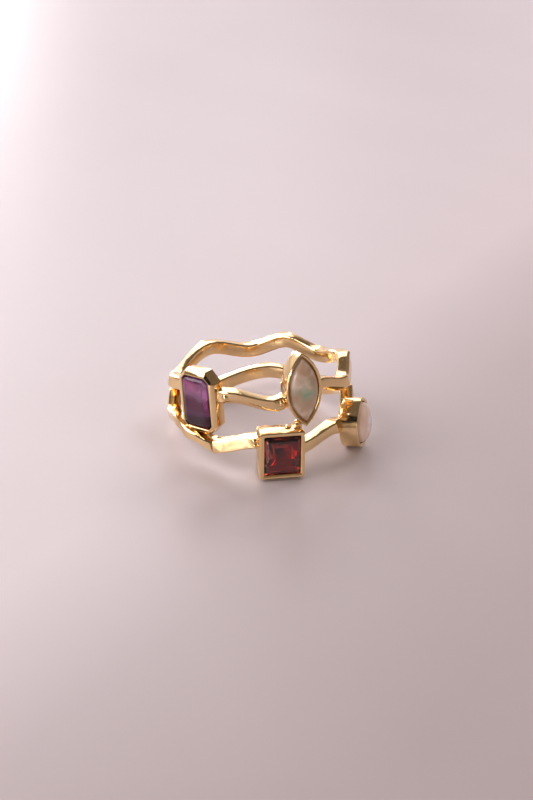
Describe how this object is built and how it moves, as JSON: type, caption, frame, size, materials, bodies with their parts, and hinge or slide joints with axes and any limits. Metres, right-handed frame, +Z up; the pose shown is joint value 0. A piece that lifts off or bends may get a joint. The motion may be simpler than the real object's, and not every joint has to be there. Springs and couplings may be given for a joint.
{
  "type": "double-band gemstone ring",
  "caption": "Polished gold ring of wavy soldered bands with bezel-set cut and cabochon stones, lying on its side.",
  "frame": {"origin": "centre of the bounding box's base, on the surface that the ring lies on", "axes": "+Z up, the finger hole's axis close to it; -Y towards the front, where the garnet is; +X to the side of the moonstone"},
  "size_m": [0.0224, 0.0222, 0.0141],
  "materials": {
    "gold": "polished yellow gold",
    "amethyst": "polished facets",
    "opal": "polished milky stone",
    "garnet": "polished facets",
    "moonstone": "polished milky stone"
  },
  "bodies": {
    "root": {"ring_body": "gold", "amethyst": "amethyst", "opal": "opal", "garnet": "garnet", "moonstone": "moonstone"}
  },
  "joints": []
}
